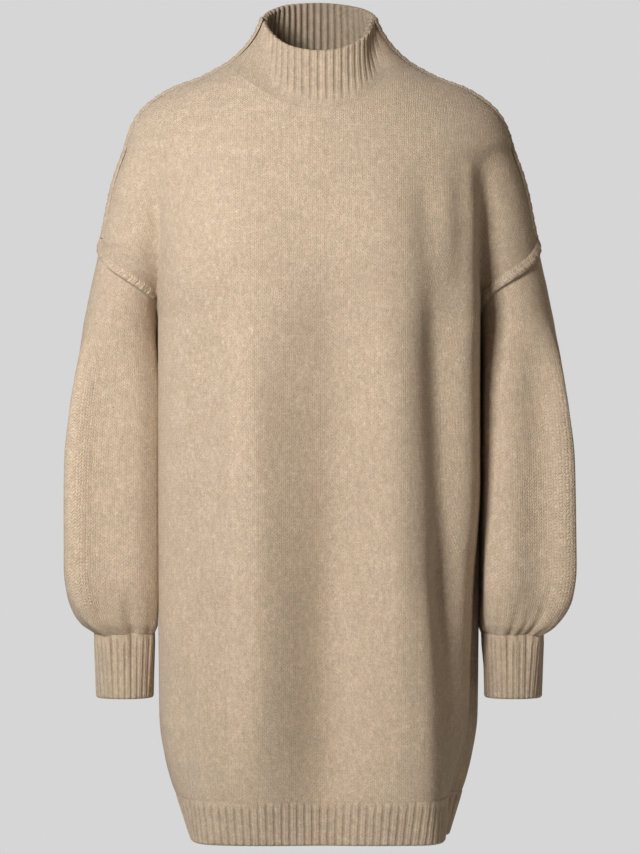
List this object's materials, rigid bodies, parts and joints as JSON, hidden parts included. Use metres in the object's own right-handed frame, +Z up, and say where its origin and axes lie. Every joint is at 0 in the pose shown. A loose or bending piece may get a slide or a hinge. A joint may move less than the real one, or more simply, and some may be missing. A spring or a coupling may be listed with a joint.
{
  "type": "worn sweater dress",
  "caption": "Oversized knitted mini dress, filled out as worn, with a ribbed funnel neck, dropped shoulders, balloon sleeves and ribbed cuffs and hem.",
  "frame": {"origin": "base of the neck, level with the shoulder points and in the plane of the shoulder seams, where the wearer's shoulders hold the dress", "axes": "+Z up from hem to neck, -Y the front of the dress, +X towards the wearer's left sleeve"},
  "size_m": [0.5838, 0.2636, 0.9624],
  "materials": {
    "body_knit": "matt oatmeal melange wool, plain knit with vertical wales",
    "sleeve_knit": "matt oatmeal melange wool, plain knit, looser than the body",
    "rib_knit": "matt oatmeal melange wool, one by one rib",
    "rolled_seam": "matt oatmeal melange wool, edge rolled to the outside and sewn down"
  },
  "bodies": {
    "root": {"front_body": "body_knit", "back_body": "body_knit", "sleeve_left": "sleeve_knit", "sleeve_right": "sleeve_knit", "collar_front": "rib_knit", "collar_back": "rib_knit", "hem_front": "rib_knit", "hem_back": "rib_knit", "cuff_left": "rib_knit", "cuff_right": "rib_knit", "shoulder_roll_left": "rolled_seam", "shoulder_roll_right": "rolled_seam", "armhole_roll_left": "rolled_seam", "armhole_roll_right": "rolled_seam"}
  },
  "joints": []
}
